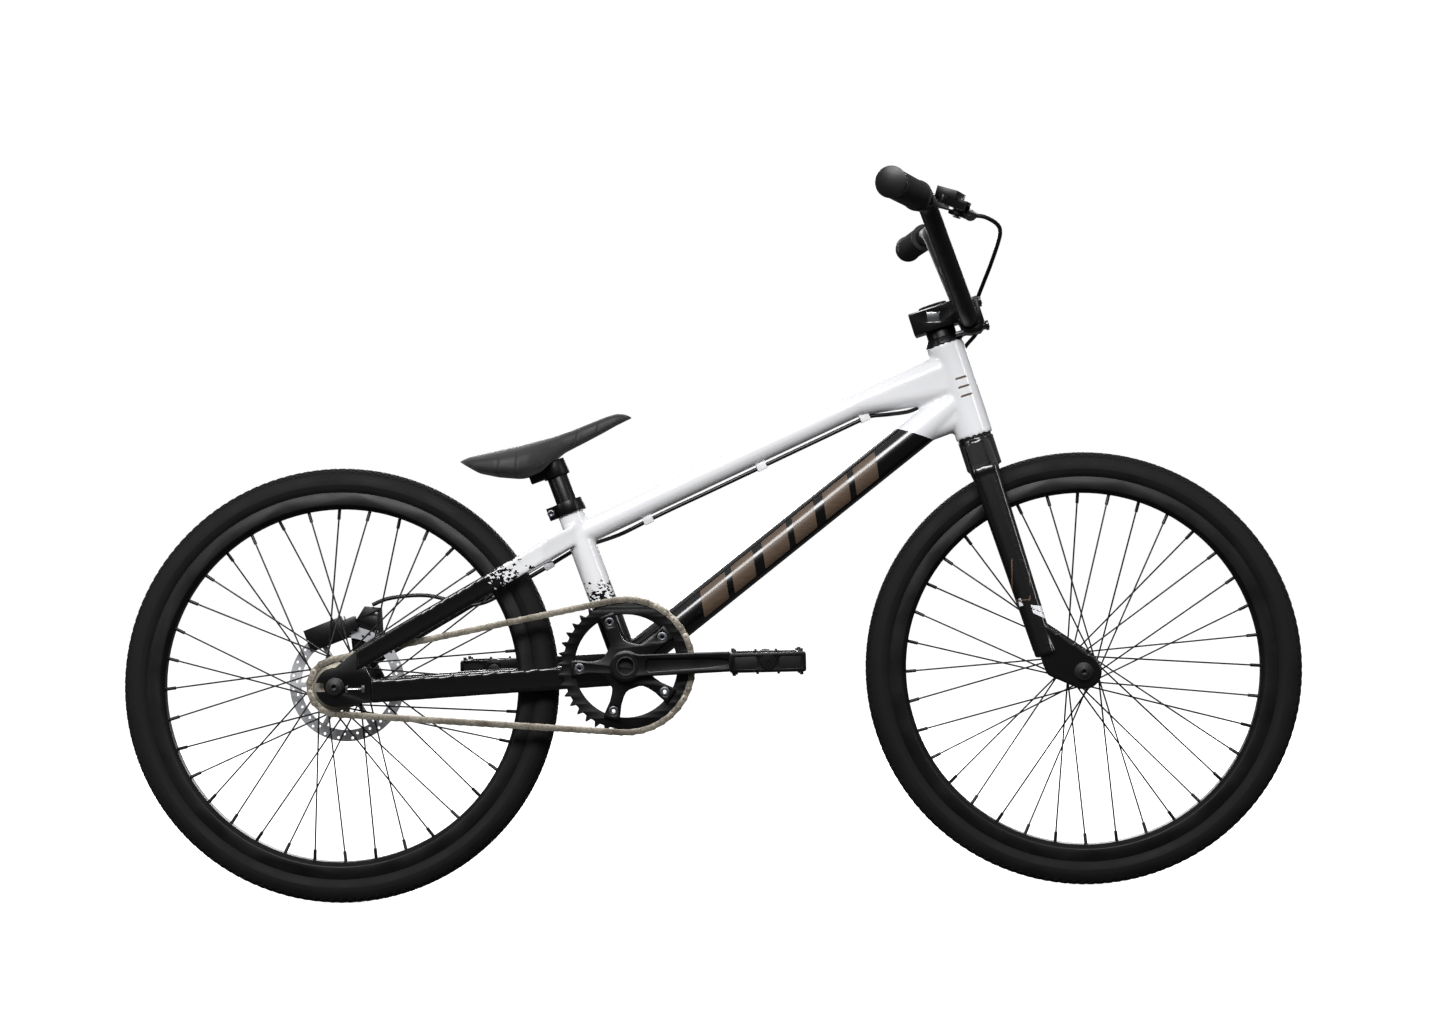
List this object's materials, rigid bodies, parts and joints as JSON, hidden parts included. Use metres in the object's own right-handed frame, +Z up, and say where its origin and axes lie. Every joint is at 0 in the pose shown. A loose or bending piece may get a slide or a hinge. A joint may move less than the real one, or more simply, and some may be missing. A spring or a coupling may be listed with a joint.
{
  "type": "bicycle",
  "caption": "Small-wheeled race bicycle with a high-rise bar, a low saddle, a single chain drive and a hydraulic rear disc brake.",
  "frame": {"origin": "on the ground, halfway between the front and rear axles, on the middle plane of the frame", "axes": "+X forward, +Y to the rider's left, +Z up; the bar is stored turned seven degrees to the right, as in the picture"},
  "size_m": [1.41, 0.6974, 0.8389],
  "materials": {
    "white_paint": "gloss",
    "black_paint": "gloss",
    "black_anodised": "satin",
    "black_steel": "satin",
    "fork_black": "gloss",
    "steel": "satin",
    "silver": "satin",
    "chain": "satin",
    "hose": "satin",
    "grip": "matte",
    "tyre": "matte",
    "tube": "matte",
    "saddle": "matte",
    "pad": "matte",
    "white_clip": "satin",
    "pedal": "satin"
  },
  "bodies": {
    "frame": {"head_tube": "white_paint", "top_tube": "white_paint", "down_tube": "black_paint", "seat_tube": "white_paint", "bb_shell": "black_paint", "chainstays": "black_paint", "seatstays": "white_paint", "dropouts": "black_paint", "hose_guides": "white_clip", "seat_clamp": "black_anodised", "seat_clamp_bolt": "steel", "headset_bearings": "steel", "bb_cups": "black_anodised", "rear_axle": "steel", "chain_tensioners": "silver", "chain": "chain", "brake_hose_rear": "hose", "brake_caliper": "black_anodised", "caliper_bolts": "steel"},
    "seatpost": {"seatpost": "black_anodised", "saddle_base": "saddle", "saddle_pad": "saddle"},
    "steering": {"fork_steerer": "fork_black", "fork_legs": "fork_black", "front_axle": "steel", "headset_cover": "black_anodised", "stem_body": "black_anodised", "stem_cap": "black_anodised", "stem_bolts": "black_steel", "handlebar": "black_anodised", "grip_right": "grip", "grip_left": "grip", "bar_end_plugs": "black_anodised", "lever_clamp": "black_anodised", "lever_pivot": "steel", "brake_hose_front": "hose"},
    "lever": {"brake_lever": "black_anodised"},
    "front_wheel": {"front_tyre": "tyre", "front_rim": "black_anodised", "front_spokes": "black_steel", "front_hub": "black_anodised", "front_tube": "tube"},
    "rear_wheel": {"rear_tyre": "tyre", "rear_rim": "black_anodised", "rear_spokes": "black_steel", "rear_hub": "black_anodised", "rear_tube": "tube", "brake_rotor": "steel", "rotor_bolts": "steel"},
    "cog": {"rear_cog": "steel"},
    "crank": {"crank_arm_right": "black_anodised", "crank_arm_left": "black_anodised", "crank_spindle": "steel", "chainring": "black_anodised", "chainring_bolts": "steel", "pedal_spindles": "steel"},
    "pedal_right": {"pedal_right": "pedal"},
    "pedal_left": {"pedal_left": "pedal"},
    "pad_inner": {"brake_pad_inner": "pad"},
    "pad_outer": {"brake_pad_outer": "pad"}
  },
  "joints": [
    {"name": "seat_height", "type": "slide", "parent": "frame", "child": "seatpost", "axis": [-0.3272, 0, 0.9449], "range_m": [-0.025, 0.05]},
    {"name": "steering_turn", "type": "hinge", "parent": "frame", "child": "steering", "pos_m": [0.4105, 0, 0.25013], "axis": [-0.284, 0, 0.9588], "range_deg": [-68, 82], "deforming": ["brake_hose_front"]},
    {"name": "brake_lever_pull", "type": "hinge", "parent": "steering", "child": "lever", "pos_m": [0.28784, -0.21085, 0.78852], "axis": [-0.2967, 0.1333, -0.9456], "range_deg": [0, 14], "stiffness_Nm_per_rad": 1, "springref_deg": -8.59},
    {"name": "pad_inner_slide", "type": "slide", "parent": "frame", "child": "pad_inner", "axis": [0, 1, 0], "range_m": [0, 0.00028]},
    {"name": "pad_outer_slide", "type": "slide", "parent": "frame", "child": "pad_outer", "axis": [0, -1, 0], "range_m": [0, 0.00028]},
    {"name": "front_wheel_spin", "type": "hinge", "parent": "steering", "child": "front_wheel", "pos_m": [0.44524, -0.00445, 0.26042], "axis": [0.1169, 0.9925, 0.0346], "continuous": true},
    {"name": "rear_wheel_spin", "type": "hinge", "parent": "frame", "child": "rear_wheel", "pos_m": [-0.4455, 0, 0.2605], "axis": [0, 1, 0], "continuous": true},
    {"name": "crank_spin", "type": "hinge", "parent": "frame", "child": "crank", "pos_m": [-0.10298, 0, 0.2772], "axis": [0, 1, 0], "continuous": true, "deforming": ["chain"]},
    {"name": "cog_spin", "type": "hinge", "parent": "frame", "child": "cog", "pos_m": [-0.4455, 0, 0.2605], "axis": [0, 1, 0], "continuous": true},
    {"name": "pedal_right_spin", "type": "hinge", "parent": "crank", "child": "pedal_right", "pos_m": [0.06197, 0, 0.28123], "axis": [0, 1, 0], "continuous": true},
    {"name": "pedal_left_spin", "type": "hinge", "parent": "crank", "child": "pedal_left", "pos_m": [-0.26793, 0, 0.27317], "axis": [0, 1, 0], "continuous": true}
  ],
  "couplings": [
    {"joint": "cog_spin", "follows": "crank_spin", "ratio": 2.4375},
    {"joint": "pad_inner_slide", "follows": "brake_lever_pull", "m_per_rad": 0.001145},
    {"joint": "pad_outer_slide", "follows": "brake_lever_pull", "m_per_rad": 0.001145}
  ]
}
